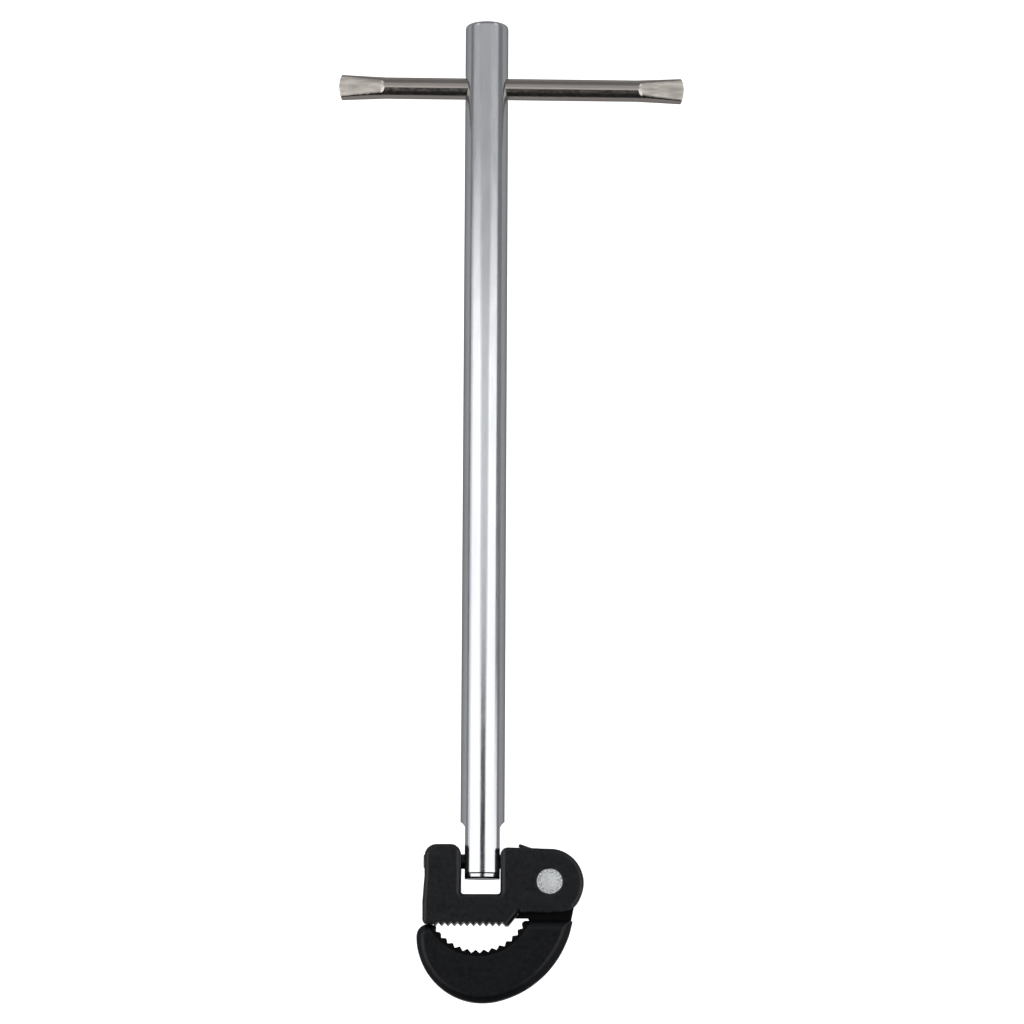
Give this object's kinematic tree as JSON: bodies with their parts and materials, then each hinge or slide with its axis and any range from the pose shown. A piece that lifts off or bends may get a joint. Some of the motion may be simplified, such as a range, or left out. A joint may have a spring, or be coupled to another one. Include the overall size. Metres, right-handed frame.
{
  "type": "basin wrench",
  "caption": "Basin wrench with a round shaft, a sliding T-bar through its top, and a swivelling head whose spring-loaded toothed hook closes on a toothed yoke.",
  "frame": {"origin": "middle of the yoke's cross bar, on the back face of the head that the wrench lies on", "axes": "+X along the sliding T-bar to the jaw's pivot side, +Y along the shaft from the head to the T-bar, +Z out of the front face of the head"},
  "size_m": [0.0962, 0.2717, 0.0121],
  "materials": {
    "chrome_plate": "bright chrome plate with light handling marks",
    "nickel_plate": "warm, slightly dull nickel plate over drawn bar",
    "black_steel": "black oxide, smooth",
    "black_casting": "black oxide over a fine cast skin",
    "black_forging": "black oxide over a fine cast skin",
    "bare_steel": "satin, hammered at its rim",
    "spring_steel": "dark oiled spring wire"
  },
  "bodies": {
    "shaft": {"shaft": "chrome_plate"},
    "tee_bar": {"tee_bar": "nickel_plate"},
    "yoke": {"yoke": "black_casting", "swivel_pin": "black_steel", "jaw_rivet": "bare_steel", "jaw_spring": "spring_steel"},
    "hook_jaw": {"hook_jaw": "black_forging"}
  },
  "joints": [
    {"name": "tee_slide", "type": "slide", "parent": "shaft", "child": "tee_bar", "axis": [1, -0.0079, 0], "range_m": [-0.0358, 0.0222]},
    {"name": "head_swivel", "type": "hinge", "parent": "shaft", "child": "yoke", "pos_m": [0, 0.013, 0.006], "axis": [1, 0, 0], "range_deg": [-105, 105]},
    {"name": "jaw_pivot", "type": "hinge", "parent": "yoke", "child": "hook_jaw", "pos_m": [0.0182, 0.0075, 0.006], "axis": [0, 0, 1], "range_deg": [0, 80], "stiffness_Nm_per_rad": 0.12, "springref_deg": -40.11, "deforming": ["jaw_spring"]}
  ]
}
